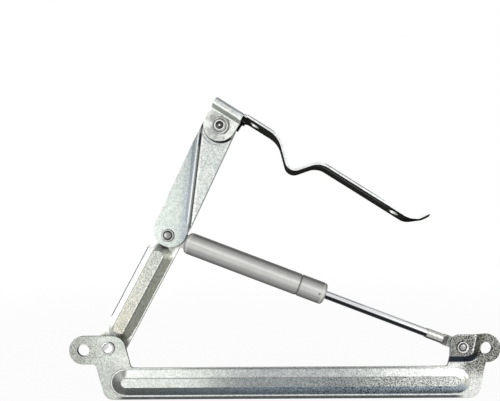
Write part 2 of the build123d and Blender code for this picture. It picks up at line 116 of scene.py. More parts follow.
class Finish:
    """One material, with short ways to add its nodes. Lengths are millimetres."""

    def __init__(self, name, **values):
        self.material = bpy.data.materials.new(name)
        self.material.use_nodes = True
        self.tree = self.material.node_tree
        self.shader = self.tree.nodes["Principled BSDF"]
        for socket, value in values.items():
            self.shader.inputs[socket.replace("_", " ")].default_value = value
        coordinates = self.add("ShaderNodeTexCoord")
        mapping = self.add("ShaderNodeMapping", Vector=self.out(coordinates, "Object"),
                           Scale=(1000, 1000, 1000))
        self.place = self.out(mapping)
        self.x, self.y, self.z = self.parts(self.place)
        self.normal = self.parts(self.out(coordinates, "Normal"))
        self.colour = None

    def add(self, kind, settings=None, **inputs):
        """A new node with the given settings, and its inputs set or linked."""
        node = self.tree.nodes.new(kind)
        for key, value in (settings or {}).items():
            setattr(node, key, value)
        for name, value in inputs.items():
            socket = node.inputs[name.replace("_", " ")]
            if isinstance(value, Socket):
                self.tree.links.new(value.link, socket)
            else:
                socket.default_value = value
        return node

    def out(self, node, name=0):
        """A node's output, by its name or its number."""
        return Socket(self.tree, node.outputs[name])

    def parts(self, vector):
        """The X, Y and Z of a vector."""
        node = self.add("ShaderNodeSeparateXYZ", Vector=vector)
        return [self.out(node, axis) for axis in "XYZ"]

    def facing(self, x, y, z):
        """How far the surface faces a direction: the scalar product with its own normal."""
        return self.normal[0]*x+self.normal[1]*y+self.normal[2]*z

    def span(self, origin, direction):
        """Distance from an origin along a direction, in the plane of the links."""
        return (self.x-origin.x)*direction.x+(self.z-origin.z)*direction.z

    def beside(self, start, end):
        """Distance to the right of the line from start to end, in the plane of the links."""
        step = (end-start).normalized()
        return self.span(start, Vector((step.z, 0.0, -step.x)))

    def around(self, centre):
        """Distance from an axis that runs from front to back through a centre."""
        square = (self.x-centre.x)*(self.x-centre.x)+(self.z-centre.z)*(self.z-centre.z)
        return square.maths("SQRT", square)

    def reach(self, centre):
        """Distance from a point."""
        node = self.add("ShaderNodeVectorMath", {"operation": "DISTANCE"}, Vector=self.place)
        node.inputs[1].default_value = centre
        return self.out(node, "Value")

    def noise(self, size, detail=2.0, roughness=0.5, place=None):
        """Clouds of about the given size, between 0 and 1."""
        node = self.add("ShaderNodeTexNoise", Vector=place or self.place, Scale=1/size, Detail=detail,
                        Roughness=roughness)
        return self.out(node, "Fac")

    def cells(self, size):
        """A random shade for each crystal of about the given size."""
        node = self.add("ShaderNodeTexVoronoi", Vector=self.place, Scale=1/size)
        colour = self.add("ShaderNodeSeparateColor", Color=self.out(node, "Color"))
        return self.out(colour, "Red")

    def mix(self, factor, low, high, blend="MIX"):
        """Low where the factor is 0 and high where it is 1. A Mix node takes and gives its colours at
        inputs 6 and 7 and output 2."""
        node = self.add("ShaderNodeMix", {"data_type": "RGBA", "blend_type": blend})
        for index, value in ((0, factor), (6, low), (7, high)):
            if isinstance(value, Socket):
                self.tree.links.new(value.link, node.inputs[index])
            elif index:
                node.inputs[index].default_value = (*value, 1)
            else:
                node.inputs[index].default_value = value
        return self.out(node, 2)

    def shade(self, mask, colour):
        """Lays a colour over the finish so far, where the mask is 1."""
        self.colour = self.mix(mask, self.colour, colour)

    def set(self, **links):
        """Links sockets to the shader's inputs."""
        for name, value in links.items():
            self.tree.links.new(value.link, self.shader.inputs[name.replace("_", " ")])

    def bump(self, height, distance):
        """Relief of the given depth, in metres."""
        self.set(Normal=self.out(self.add("ShaderNodeBump", Height=height, Distance=distance)))

    def on(self, *names):
        """Puts the material on pieces."""
        for name in names:
            for slot in nodes[name].material_slots:
                slot.material = self.material


class Zinc(Finish):
    """Bright zinc plating on pressed sheet: crystals of about 2 mm, a sandy grain and soft clouds. Flat
    is 1 on the sheet's front face, slope on its pressed walls and cut on its sheared rim."""

    def __init__(self, name, pale, grey, grit):
        super().__init__(name)
        self.grain = self.noise(1.7, 3, 0.75)
        self.facet = self.cells(2.1)
        self.colour = self.mix(self.noise(34.0).ramp(0.38, 0.68), pale, grey)
        self.grit = grit
        self.hidden = None
        self.front = self.facing(0.0, -1.0, 0.0)
        self.flat = self.front.ramp(0.9, 0.99)
        lean = self.normal[0]*self.normal[0]+self.normal[2]*self.normal[2]
        self.cut = lean.ramp(0.5, 0.8)
        self.slope = lean.ramp(0.01, 0.05)*(1-self.cut)

    def sand(self, mask, more):
        """Stronger grit under a mask."""
        self.grit = mask*more+self.grit

    def dark(self, mask, colour):
        """Painted black shade under a mask: a dark colour that mirrors nothing."""
        self.shade(mask, colour)
        self.hidden = mask if self.hidden is None else self.hidden.larger(mask)

    def done(self, *names):
        """Adds the grain and the pits, and puts the finish on its pieces."""
        grain = (self.grain-0.5)*2.6+(self.facet-0.5)*0.5
        speckle = self.mix((grain+0.5).ramp(-0.25, 1.25), (0.72, 0.73, 0.72), (1.0, 1.0, 1.0))
        pit = self.noise(1.15, 1.5, 0.6).ramp(0.53, 0.43)*self.grit
        speckle = self.mix(pit, speckle, (0.12, 0.125, 0.13))
        self.set(Base_Color=self.mix(1.0, self.colour, speckle, "MULTIPLY"),
                 Roughness=0.31+self.grain*0.14+self.facet*0.06)
        # where black shade is painted, the finish is not metallic, so it mirrors nothing
        if self.hidden is None:
            self.shader.inputs["Metallic"].default_value = 1.0
        else:
            self.shader.inputs["Specular IOR Level"].default_value = 0.0
            self.set(Metallic=1-self.hidden)
        self.bump(self.grain*0.6+self.facet*0.4, 0.00004)
        self.on(*names)


def corners(name):
    """The lowest and highest corner of a piece's box, in millimetres."""
    return [1000*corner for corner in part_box(name)]


def pivot(name):
    """Where a round piece's axis passes, in millimetres, in the plane of the links."""
    low, high = corners(name)
    return Vector(((low.x+high.x)/2, 0.0, (low.z+high.z)/2))


def mount(name):
    """What the part's record says about a mount."""
    return next(entry for entry in frame["record"]["mounts"] if entry["name"] == name)


# places on the rail: its top edge, the centres of the bead's round ends, the fronts of bead and boss
sheet = 2.5
rail_low = corners("base_rail")[0]
rail_top = -18.0
bead_left = -160.9
bead_right = 172.3
bead_level = -32.4
bead_half = 12.2
bead_height = 3.0
bead_foot = bead_level-bead_half
bead_front = -sheet-bead_height
boss_front = rail_low.y
boss = pivot("spring_rivet")
hole_reach = mount("base_bolts")["dims"]["spacing_x_mm"]/2

white = (0.96, 0.97, 0.95)
rail = Zinc("rail_zinc", (0.72, 0.76, 0.70), (0.60, 0.635, 0.60), 0.22)
rail_up = rail.facing(0.0, 0.0, 1.0)
rail_down = rail.facing(0.0, 0.0, -1.0)
bead_part = rail.z.ramp(rail_top+1.5, rail_top)
toward_right = rail.x.ramp(60.0, 140.0)

# its flat faces, in painted reflection: a grey middle, greyer to the right, darker sandy ears, and painted
# highlights as a warm white patch beside the bead, pale at the bead's right end and white below the boss
grey_middle = rail.x.band(10.0, 40.0, 75.0)*rail.z.ramp(rail_top+4.0, rail_top-2.0)
rail.shade(grey_middle, (0.39, 0.415, 0.42))
rail.shade(rail.x.ramp(70.0, 140.0)*0.7, (0.62, 0.64, 0.63))
left_ear = rail.reach((rail_low.x+0.7, 0.0, 4.0)).ramp(44.0, 6.0)
rail.shade(left_ear*0.9, (0.40, 0.41, 0.375))
warm_patch = rail.reach((bead_left+0.9, 0.0, rail_top+8.0)).ramp(13.0, 4.0)
rail.shade(warm_patch*0.7, (0.90, 0.90, 0.85))
pale_right = rail.x.ramp(bead_right-22.3, bead_right-0.3)*bead_part
rail.shade(pale_right, (0.90, 0.91, 0.87))
from_boss = rail.x-boss.x
below_boss = rail.z.band(rail_top+0.5, 1.8, 1.0)*from_boss.ramp(-36.3, -20.3)*from_boss.ramp(9.7, 1.7)
rail.shade(below_boss, white)
right_ear = from_boss.ramp(-4.3, 7.7)*rail.z.ramp(rail_top-16.0, rail_top+4.0)
rail.shade(right_ear, (0.37, 0.37, 0.34))
rail.sand(right_ear, 0.9)
rail.sand(rail.x.ramp(bead_left+10.9, rail_low.x+5.7), 0.3)
rail.sand(rail.x.band(30.0, 70.0, 60.0)+toward_right*0.6, 0.2)

# the bead, in painted light and shade: a white painted highlight on the upper wall, pale painted light at
# the ends of the floor, bluish painted shade on the lower wall with a darker painted foot, a dark painted
# left cap, a pale painted right cap, and painted shade and highlight lines along the crest and the foot
upper_wall = rail.slope*rail_up.ramp(0.15, 0.3)*bead_part
rail.shade(upper_wall*(0.3+toward_right*0.6), white)
bead_floor = rail.y.ramp(bead_front+0.3, bead_front+0.1)*rail.flat*bead_part
floor_ends = rail.x.ramp(-60.0, -110.0)+rail.x.ramp(90.0, 150.0)*0.6
rail.shade(bead_floor*floor_ends, (0.88, 0.91, 0.87))
low_colour = rail.mix(rail.x.ramp(-150.0, 10.0), (0.145, 0.16, 0.155), (0.25, 0.305, 0.36))
low_colour = rail.mix(rail.x.ramp(40.0, 150.0), low_colour, (0.46, 0.54, 0.62))
low_foot = rail.z.ramp(bead_level-6.1, bead_foot+0.6)*(0.5+toward_right*0.25)
low_colour = rail.mix(low_foot, low_colour, (0.06, 0.07, 0.08))
above_foot = rail.z-bead_foot
wall_foot = above_foot.ramp(1.4, 1.0)*above_foot.ramp(-0.9, -0.5)*rail.flat*rail.x.band(3.0, 163.0, 3.0)
rail.shade(rail_down.ramp(0.02, 0.12)*bead_part+wall_foot, low_colour)
lower_wall = rail_down.ramp(0.15, 0.3)
rail.sand((lower_wall+bead_floor)*rail.x.ramp(-40.0, 120.0)*bead_part, 0.4)
rail.sand(lower_wall*bead_part, 0.2)
past_left = bead_left-rail.x
past_right = rail.x-bead_right
left_cap = rail.slope*past_left.ramp(-4.9, 0.1)
cap_colour = rail.mix(past_left.ramp(5.1, 9.6), (0.175, 0.18, 0.17), (0.15, 0.155, 0.148))
rail.shade(left_cap, cap_colour)
right_cap = rail.slope*past_right.ramp(-1.3, 4.7)*rail_down.ramp(0.25, 0.05)*bead_part
rail.shade(right_cap, (0.74, 0.75, 0.69))
wall_crest = rail.slope*rail.y.ramp(bead_front+0.6, bead_front+0.2)*rail_down.ramp(0.0, -0.1)*bead_part
rail.shade(wall_crest*0.8, (0.22, 0.23, 0.22))
foot_line = above_foot.band(-1.3, 0.4, 0.3)*rail.flat*rail.x.band(3.0, 164.0, 4.0)
rail.shade(foot_line, white)

# painted highlight and shade lines round the bead's two ends
left_end = past_left.ramp(-1.9, 1.1)
left_round = rail.around(Vector((bead_left, 0.0, bead_level)))
right_end = past_right.ramp(-2.3, 0.7)
right_round = rail.around(Vector((bead_right, 0.0, bead_level)))
right_lines = (right_round.band(bead_half+0.6, 0.3, 0.4)+right_round.band(8.0, 0.3, 0.5))*right_end
rail.shade(right_lines*0.4, (0.30, 0.30, 0.27))
rail.shade(left_round.band(bead_half+0.5, 0.3, 0.35)*left_end, white)
rail.shade(left_round.band(bead_half+1.3, 0.3, 0.4)*left_end*0.6, (0.24, 0.25, 0.235))

# painted shade on its lower strip, along a line under its top edge and on its cut rim, painted light on the
# rim's upward faces, and painted black shade on the rim of the left hole
lower_strip = above_foot.ramp(-1.9, -2.3)*rail.flat*rail.x.band(5.0, 165.0, 12.0)
rail.shade(lower_strip, (0.12, 0.13, 0.135))
upper_line = rail.z.band(rail_top-0.6, 0.5, 0.3)*rail.flat*rail.x.band(10.0, 95.0, 40.0)
rail.shade(upper_line*0.7, (0.20, 0.21, 0.20))
rail.shade(rail.cut, (0.09, 0.095, 0.09))
upper_rim = rail.cut*rail_up.ramp(0.7, 0.9)*rail.x.band(0.0, 145.0, 5.0)
rail.shade(upper_rim*0.7, (0.40, 0.41, 0.40))
hole_rim = rail.cut*rail.reach((-hole_reach, -sheet/2, 0.0)).ramp(7.4, 6.6)
rail.dark(hole_rim, (0.01, 0.01, 0.01))

# the boss: a darker sandy floor of painted reflection, and painted white highlights and dark shade on its
# walls, nearly black on the lower wall and banded on the right wall
boss_part = from_boss.ramp(-26.3, -18.3)*(1-bead_part)
boss_rise = (rail.y+sheet)*(1/(boss_front+sheet))
boss_floor = boss_part*rail.y.ramp(boss_front+0.4, boss_front+0.1)*rail.flat
rail.shade(boss_floor, (0.36, 0.36, 0.335))
rail.sand(boss_floor, 0.5)
side = rail.mix(rail.z.ramp(boss.z+3.0, boss.z-8.0), (0.155, 0.155, 0.125), (0.035, 0.036, 0.032))
side = rail.mix(boss_rise.ramp(0.8, 0.88), side, white)
side = rail.mix(boss_rise.band(0.2, 0.06, 0.06)*0.8, side, (0.32, 0.325, 0.30))
under = rail.mix(boss_rise.ramp(0.12, 0.22), white, (0.028, 0.034, 0.052))
under = rail.mix(boss_rise.ramp(0.92, 0.96), under, (0.50, 0.52, 0.52))
lower_side = (rail_down-rail.facing(1.0, 0.0, 0.0)).ramp(-0.12, 0.1)
rail.shade(boss_part*rail.slope, rail.mix(lower_side, side, under))
rail.done("base_rail")

# Lower arm: a 2.5 mm link with one long pressed rib, plated like the rail and a little warmer, and riveted
# to the rail's left end. The rib's left wall carries a painted highlight, its right wall a painted shade,
# and its ends a grey painted shade, but for a pale painted light at the foot.
def extent(name, origin, direction):
    """How far a piece reaches from an origin along a direction, at least and at most."""
    piece = nodes[name]
    reach = [(1000*(piece.matrix_world @ vertex.co)-origin).dot(direction)
             for vertex in piece.data.vertices]
    return min(reach), max(reach)


knee = pivot("knee_rivet")
arm_foot = pivot("arm_tube_rivet")
arm_length = (knee-arm_foot).length
arm_line = (knee-arm_foot).normalized()
arm_right = Vector((arm_line.z, 0.0, -arm_line.x))
left_edge, right_edge = extent("lower_arm", arm_foot, arm_right)
lower = Zinc("lower_arm_zinc", (0.61, 0.615, 0.55), (0.53, 0.555, 0.515), 0.2)
along = lower.span(arm_foot, arm_line)
aside = lower.span(arm_foot, arm_right)
straight = along.ramp(14.0, 20.0)*along.ramp(arm_length-10.6, arm_length-15.6)

# the rib: floor, a painted highlight on the left wall, painted shade on the right wall, and grey painted
# shade on the two ends, pale painted light near the foot
rib_right = lower.facing(*arm_right)
right_wall = lower.slope*rib_right.ramp(0.12, 0.3)
rib_end = abs(lower.facing(*arm_line)).ramp(0.2, 0.33)*lower.slope*rib_right.ramp(0.25, 0.0)
rib_floor = lower.y.ramp(1.0, 0.8)
lower.shade(rib_floor*along.ramp(75.0, 20.0), (0.66, 0.65, 0.555))
lower.sand(rib_floor, 0.2)
lower.shade(lower.slope*rib_right.ramp(-0.15, -0.35), (0.70, 0.72, 0.70))
lower.shade(right_wall, (0.335, 0.345, 0.295))
lower.sand(right_wall, 0.15)
lower.shade(rib_end, lower.mix(along.ramp(34.0, 24.0), (0.34, 0.35, 0.33), (0.85, 0.86, 0.82)))

# painted shade and highlight lines along the rib and along the link's edges
lower.shade(lower.flat*aside.ramp(right_edge-3.3, right_edge-2.9)*straight, (0.21, 0.215, 0.19))
lower.shade(lower.flat*aside.ramp(right_edge-1.4, right_edge-1.1), (0.75, 0.76, 0.73))
lower.shade(lower.flat*aside.band(left_edge+0.6, 0.7, 0.4), (0.20, 0.21, 0.225))
lower.shade(rib_floor*aside.ramp(4.9, 5.3)*straight, (0.21, 0.215, 0.19))
lower.shade(rib_floor*aside.band(4.5, 0.1, 0.4)*straight*0.7, white)
lower.shade(lower.slope*aside.band(-6.4, 0.9, 0.5)*straight, (0.34, 0.34, 0.305))

# the knee, with painted pale light beside the upper arm and painted shadow under it, painted pale light at
# the foot, and painted shade on the cut rim
from_knee = lower.around(knee)
middle_strip = abs(aside-2.0).ramp(11.0, 7.0)
pale_knee = from_knee.ramp(26.0, 20.0)*along.ramp(arm_length-39.6, arm_length-35.6)*(1-middle_strip)
lower.shade(pale_knee, (0.92, 0.92, 0.88))
knee_shadow = from_knee.ramp(21.0, 17.5)*along.ramp(arm_length-31.6, arm_length-27.6)*middle_strip
lower.shade(knee_shadow*0.3, (0.12, 0.125, 0.10))
lower.shade(along.ramp(30.0, 24.0)*lower.flat*(1-rib_floor), (0.94, 0.94, 0.90))
lower.shade(lower.cut, (0.10, 0.105, 0.10))
lower.done("lower_arm")

# Upper arm: a wider 2.5 mm link, pressed, plated and riveted to the lower arm at the knee. Everything to
# the right of a slanting fold is pressed back by a sheet and a washer. The fold is painted in light and
# shade, from a bluish painted shade through a pale painted highlight to a black painted shade line.
crown = pivot("top_rivet")
link_line = (crown-knee).normalized()
link_left = Vector((-link_line.z, 0.0, link_line.x))
link_length = (crown-knee).length
link_right_edge, link_left_edge = extent("upper_arm", knee, link_left)
fold_rim = [knee+link_line*22.0-link_left*9.3, knee+link_line*96.0+link_left*link_left_edge]
fold_foot = [knee+link_line*24.0-link_left*13.7, knee+link_line*117.0+link_left*link_left_edge]
upper = Zinc("upper_arm_zinc", (0.64, 0.69, 0.645), (0.595, 0.64, 0.61), 0.2)
climb = upper.span(knee, link_line)
across = upper.span(knee, link_left)
past_rim = upper.beside(*fold_rim)
past_foot = upper.beside(*fold_foot)

# the panel right of the fold
panel = past_foot.ramp(0.0, 1.0)
panel_clouds = upper.noise(26.0).ramp(0.35, 0.7)
upper.shade(panel, upper.mix(panel_clouds, (0.76, 0.79, 0.76), (0.68, 0.72, 0.70)))
upper.sand(panel, 0.1)

# the fold in painted light and shade: bluish shade before its rim, grey shade on its slope, and painted
# highlight and shade lines along its foot, black at its top
before_rim = past_rim.ramp(-10.0, 0.0)*past_foot.ramp(-1.6, -2.6)
upper.shade(before_rim*0.75, (0.42, 0.47, 0.51))
upper.shade(upper.slope*past_foot.ramp(-0.4, -1.0), (0.215, 0.235, 0.245))
upper.shade(past_rim.band(1.1, 0.3, 0.4)*climb.ramp(40.0, 60.0)*0.7, (0.17, 0.185, 0.20))
upper.shade(past_foot.band(-2.6, 0.3, 0.6), (0.46, 0.47, 0.47))
upper.shade(past_foot.band(-1.2, 0.3, 0.4), (0.13, 0.135, 0.13))
upper.shade(past_foot.band(-0.1, 0.5, 0.35), (0.05, 0.055, 0.05))
upper.shade(past_foot.band(1.9, 0.5, 0.45), white)
fold_top = past_foot.band(-0.6, 0.9, 0.3)*climb.ramp(92.0, 96.0)*across.ramp(5.0, 7.0)
upper.shade(fold_top, (0.02, 0.022, 0.02))

# painted shade round the bracket's web, a painted highlight and a painted grey shade line along the link's
# right edge, and painted shade on its cut rim
from_crown = upper.around(crown)
to_shade = Vector((0.8, 0.0, -0.6))
below_web = upper.span(crown, to_shade).ramp(-6.0, 16.0)
pale_edge = across.band(link_right_edge+1.9, 0.4, 0.4)*climb.ramp(link_length-22.9, link_length-18.9)
upper.shade(pale_edge, white)
upper.shade(from_crown.band(19.6, 0.5, 0.8)*across.ramp(-12.0, -4.0)*0.6, (0.33, 0.34, 0.33))
crescent = (from_crown-0.9*below_web).ramp(17.3, 16.5)*climb.ramp(link_length-3.9, link_length-7.9)
upper.shade(crescent*(0.6+below_web*0.4), (0.03, 0.034, 0.03))
upper.shade(across.ramp(link_right_edge+0.9, link_right_edge+0.4)*0.8, (0.26, 0.27, 0.27))
upper.shade(upper.cut, (0.08, 0.085, 0.08))
upper.done("upper_arm")

# Lid bracket: web, flange, rear ear and screw strip, bent from one piece of the same sheet and riveted to
# the upper arm. The strip's underside is painted nearly black as shade and dark reflection, and its
# sheared front edge is painted bright as a highlight.
strip_up = Vector(mount("lid_rest")["axis"])
strip_line = Vector((strip_up.z, 0.0, -strip_up.x))
flange_top = 22.8
bracket_low, bracket_high = corners("lid_bracket")
flange_y = bracket_low.y
rear_y = bracket_high.y
bracket = Zinc("bracket_zinc", (0.56, 0.585, 0.555), (0.40, 0.42, 0.40), 0.16)
rise = bracket.facing(*strip_up)
before_tip = bracket_high.x-bracket.x

# the web: painted light in blotches, brighter to both sides, with a painted dark ring and a painted soft
# shadow round its rivet
web_face = bracket.flat*bracket.y.ramp(-sheet-0.7, -sheet-0.2)
web_radius = bracket.around(crown)
web_right = bracket.span(crown, Vector((0.96, 0.0, -0.28)))
web_side = abs(web_right+2.0)
painted_light_blotches = (web_side*0.06+(bracket.noise(7.0, 3, 0.6)-0.5)*3.0).ramp(0.0, 0.95)
bracket.shade(web_face*painted_light_blotches, (0.93, 0.94, 0.90))
web_shadow = web_radius.band(9.4, 0.5, 0.9)*web_right.ramp(2.0, 7.5)
bracket.shade(web_shadow*web_face*0.9, (0.13, 0.14, 0.125))
bracket.shade(web_radius.band(6.5, 0.35, 0.4)*web_face*0.9, (0.12, 0.125, 0.12))

# the flange in painted light and shade: pale painted light on its front and its roll, grey painted shade
# over the top of the roll, dull painted shade on the joggle down to the web, and a white painted highlight
# at the joggle's foot
bracket.shade(bracket.y.ramp(flange_y+0.9, flange_y+0.3)*bracket.flat, (0.78, 0.81, 0.78))
bracket.shade(rise.ramp(0.05, 0.2)*rise.ramp(0.5, 0.25), (0.78, 0.80, 0.80))
flange_front = bracket.y.ramp(-sheet, -2*sheet)*bracket.span(crown, strip_line).ramp(24.0, 15.0)
bracket.shade(rise.ramp(0.3, 0.75)*flange_front, (0.27, 0.30, 0.33))
joggle = bracket.slope*rise.ramp(-0.1, -0.4)*bracket.y.ramp(flange_y+0.1, flange_y+0.6)
bracket.shade(joggle, (0.33, 0.355, 0.305))
joggle_foot = bracket.slope*bracket.y.band(-sheet-0.5, 0.25, 0.25)*rise.ramp(0.0, -0.2)
bracket.shade(joggle_foot, white)

# the strip's sheared front edge: a bright painted highlight, with a dark painted shade line along its top,
# grey painted shade at the tip, and black painted shade below towards the tip
sheared = bracket.front.ramp(0.5, 0.8)
past_web = bracket.x.ramp(crown.x+17.9, crown.x+19.9)
bracket.shade(past_web*bracket.front.ramp(0.8, 0.95), (0.90, 0.92, 0.91))
upturn = math.radians(54.0)
tip_radius = 14.0
tip_corner = crown+strip_line*215.5+strip_up*flange_top
tip_line = strip_line*math.cos(upturn)+strip_up*math.sin(upturn)
tip_inward = strip_up*math.cos(upturn/2)-strip_line*math.sin(upturn/2)
tip_centre = tip_corner+tip_inward*(tip_radius/math.cos(upturn/2))
leg_start = tip_radius*math.tan(upturn/2)
on_leg = bracket.span(tip_corner, tip_line).ramp(leg_start-0.2, leg_start+0.3)
bend_depth = bracket.around(tip_centre)-tip_radius
leg_depth = bracket.beside(tip_corner, tip_corner+tip_line)
tip_depth = bend_depth*(1-on_leg)+leg_depth*on_leg
upper_edge = bracket.span(crown, strip_up).ramp(flange_top-0.9, flange_top-0.6)
bracket.shade(upper_edge*before_tip.ramp(39.8, 62.8)*sheared, (0.12, 0.125, 0.12))
bracket.shade(before_tip.ramp(10.3, 6.3)*sheared, (0.42, 0.425, 0.42))
lower_edge = (tip_depth+before_tip.ramp(30.3, 15.8)*2.3).ramp(sheet+0.07, sheet+0.27)
bracket.dark(lower_edge*before_tip.ramp(28.3, 25.8), (0.014, 0.014, 0.014))

# painted black shade on the strip's underside, with a faint lighter painted reflection line along it, on
# the rear ear, and on the tip's upper face
behind_edge = bracket.front.ramp(0.35, 0.15)
underside = bracket.facing(-0.65, 0.0, -0.75).ramp(0.15, 0.35)*behind_edge
bracket.dark(underside, (0.036, 0.037, 0.034))
rear_ear = bracket.y.ramp(rear_y-8.5, rear_y-5.5)*bracket.front.ramp(0.3, 0.7)
bracket.dark(rear_ear, (0.016, 0.017, 0.016))
painted_reflection_line = bracket.y.band(1.3, 1.4, 1.0)*before_tip.ramp(122.8, 102.8)*before_tip.ramp(35.8, 52.8)
bracket.shade(painted_reflection_line*rise.ramp(-0.5, -0.8), (0.15, 0.155, 0.15))
tip_face = before_tip.ramp(29.8, 19.8)*rise.ramp(0.5, 0.2)*behind_edge
bracket.dark(tip_face, (0.014, 0.014, 0.014))
bracket.done("lid_bracket")

# Rivets, washers and spacers: headed and turned steel, zinc plated, and set through the sheets. Each formed
# head has a rolled ring round a low dome, with a groove between them. Their plating is painted in rings of
# bright highlight and dark groove shade, with the dome in a painted shade of its own, and the washers and
# spacers share their rivet's plating.
def rivet_finish(name, bright, dome, grooves, *names):
    """Plating with painted light and shade in rings about the rivet's own axis: grooves of painted dark
    shade given by their inner and outer radii, painted bright rings between them, and a dome in a painted
    shade of its own inside the first groove."""
    finish = Finish(name+"_plating", Metallic=1.0)
    radius = finish.around(pivot(name))
    grain = finish.noise(0.9, 3, 0.6)
    groove_inner, groove_outer = grooves[0]
    finish.colour = finish.mix(radius.ramp(groove_outer, groove_inner), bright, dome)
    for inner, outer in grooves:
        finish.shade(radius.band((inner+outer)/2, (outer-inner)/2, 0.3), (0.06, 0.064, 0.06))
    dulled = finish.mix(1.0, finish.colour, (0.72, 0.72, 0.71), "MULTIPLY")
    finish.set(Base_Color=finish.mix(grain.ramp(0.3, 0.7), dulled, finish.colour),
               Roughness=0.25+grain*0.16)
    finish.bump(grain, 0.00003)
    finish.on(name, *names)


rivet_finish("arm_tube_rivet", (0.84, 0.85, 0.84), (0.80, 0.81, 0.80), [(4.95, 5.15), (6.1, 6.8)],
             "arm_rear_washer", "arm_spacer")
rivet_finish("knee_rivet", (0.60, 0.605, 0.60), (0.30, 0.305, 0.295), [(3.3, 4.4), (6.0, 6.8)],
             "knee_front_washer", "knee_rear_washer")
rivet_finish("top_rivet", (0.98, 0.98, 0.97), (0.95, 0.96, 0.95), [(1.1, 3.9)], "top_washer")
rivet_finish("spring_rivet", (0.98, 0.98, 0.97), (0.42, 0.42, 0.41), [(2.9, 4.1), (5.5, 6.4)],
             "spring_spacer")
rivet_finish("rod_eye_pin", (0.60, 0.61, 0.60), (0.60, 0.61, 0.60), [(5.3, 6.2)], "rod_eye_washer")

# Gas spring's barrel: drawn steel tube under a satin warm-grey paint, rolled in at both ends and at a
# groove near its nose. Painted shade darkens it at the groove, the ends and along its top and bottom, and
# a painted highlight runs above the middle, with painted bright rims near the ends.
rod_foot = pivot("rod_eye_pin")
line = (rod_foot-knee).normalized()
line_up = Vector((-line.z, 0.0, line.x))
rod_low, rod_high = corners("piston_rod")
spring_axis = knee+Vector((0.0, (rod_low.y+rod_high.y)/2, 0.0))
tail_end, nose_end = extent("spring_barrel", spring_axis, line)
barrel_radius = extent("spring_barrel", spring_axis, line_up)[1]
paint = Finish("barrel_paint", Roughness=0.42, Specular_IOR_Level=0.06)
past_tail = paint.span(knee+line*tail_end, line)
past_nose = paint.span(knee+line*nose_end, line)
lift = paint.span(knee, line_up)

# painted shade round the barrel: two steps up from the dark lower edge, a painted highlight line above the
# middle, two steps down to the upper edge
painted_round_shade = (lift.ramp(-11.5, -5.5)*0.34+lift.ramp(-5.5, -0.8)*0.31+lift.band(2.6, 0.1, 2.0)*0.22
        + lift.ramp(7.2, 4.0)*0.20+lift.ramp(10.8, 6.8)*0.40-0.52)
streak_place = paint.out(paint.add("ShaderNodeCombineXYZ", X=past_tail*0.05, Y=paint.y, Z=lift))
streak = paint.noise(2.2, 3, 0.6, streak_place)
orange_peel = paint.noise(7.0, 3)
worn = paint.mix(orange_peel.ramp(0.3, 0.7), (0.93, 0.93, 0.93), (1.0, 1.0, 1.0))
worn = paint.mix(streak.ramp(0.35, 0.75)*0.3, worn, (0.84, 0.84, 0.84))
shaded_warm_grey = paint.mix(painted_round_shade, (0.0, 0.0, 0.0), (1.0, 1.0, 0.965))
paint.colour = paint.mix(1.0, shaded_warm_grey, worn, "MULTIPLY")
# painted highlights near both ends, painted shade in the groove and at the ends, and at a small dimple
bright_rims = past_nose.band(-3.5, 0.3, 0.6)+past_tail.band(4.1, 0.3, 0.6)
paint.shade(bright_rims*0.4, (0.90, 0.90, 0.88))
groove = past_nose.band(-27.8, 0.5, 0.8)
paint.shade(groove*0.75, (0.13, 0.13, 0.12))
ends = past_tail.ramp(2.7, 0.0)+past_nose.ramp(-2.1, 0.1)
paint.shade(ends*0.85, (0.09, 0.09, 0.085))
dimple_place = spring_axis+line*(nose_end-6.5)-line_up*0.6-Vector((0.0, barrel_radius, 0.0))
dimple = paint.reach(dimple_place)
paint.shade(dimple.ramp(1.5, 0.7)*0.7, (0.08, 0.08, 0.075))
paint.set(Base_Color=paint.colour)
paint.bump(orange_peel*0.5+streak*0.5, 0.00003)
paint.on("spring_barrel")

# Piston rod: hard-chromed and ground steel, mirror bright above, with a painted dark reflection where it
# faces down. It slides through the barrel's nose, and its outer end is crimped into the rod end.
chrome = Finish("rod_chrome", Metallic=1.0, Roughness=0.14)
rod_down = chrome.facing(*-line_up)
chrome.colour = chrome.mix(chrome.noise(0.8, 3), (0.60, 0.61, 0.62), (0.80, 0.81, 0.82))
chrome.shade(rod_down.ramp(-0.05, 0.15), (0.018, 0.019, 0.022))
chrome.shade(rod_down.ramp(-0.72, -0.88), (0.16, 0.17, 0.18))
chrome.set(Base_Color=chrome.colour)
chrome.on("piston_rod")

# End fittings: a welded tail eye and a crimped rod end, forged and flattened, with dull bright zinc. The
# rod end's blade is painted pale as light, the neck between it and the sleeve is painted dark as shade, and
# faces turned down or up are painted darker as shade.
fitting = Finish("fitting_zinc", Metallic=1.0, Roughness=0.42)
forged = fitting.noise(1.6, 3, 0.7)
past_eye = fitting.span(rod_foot, line)
fitting_down = fitting.facing(*-line_up)
fitting.colour = fitting.mix(forged.ramp(0.3, 0.7), (0.36, 0.36, 0.34), (0.56, 0.565, 0.54))
blade = past_eye.ramp(-13.9, -12.4)
fitting.shade(blade, (0.98, 0.99, 0.96))
neck = past_eye.band(-15.8, 2.2, 1.0)
fitting.shade(neck*0.8, (0.22, 0.22, 0.205))
fitting.shade(fitting_down.ramp(0.45, 0.7), (0.04, 0.042, 0.04))
fitting.shade(fitting_down.ramp(-0.8, -0.95), (0.14, 0.14, 0.135))
fitting.set(Base_Color=fitting.colour)
fitting.bump(forged, 0.00004)
fitting.on("spring_tail_eye", "rod_end")

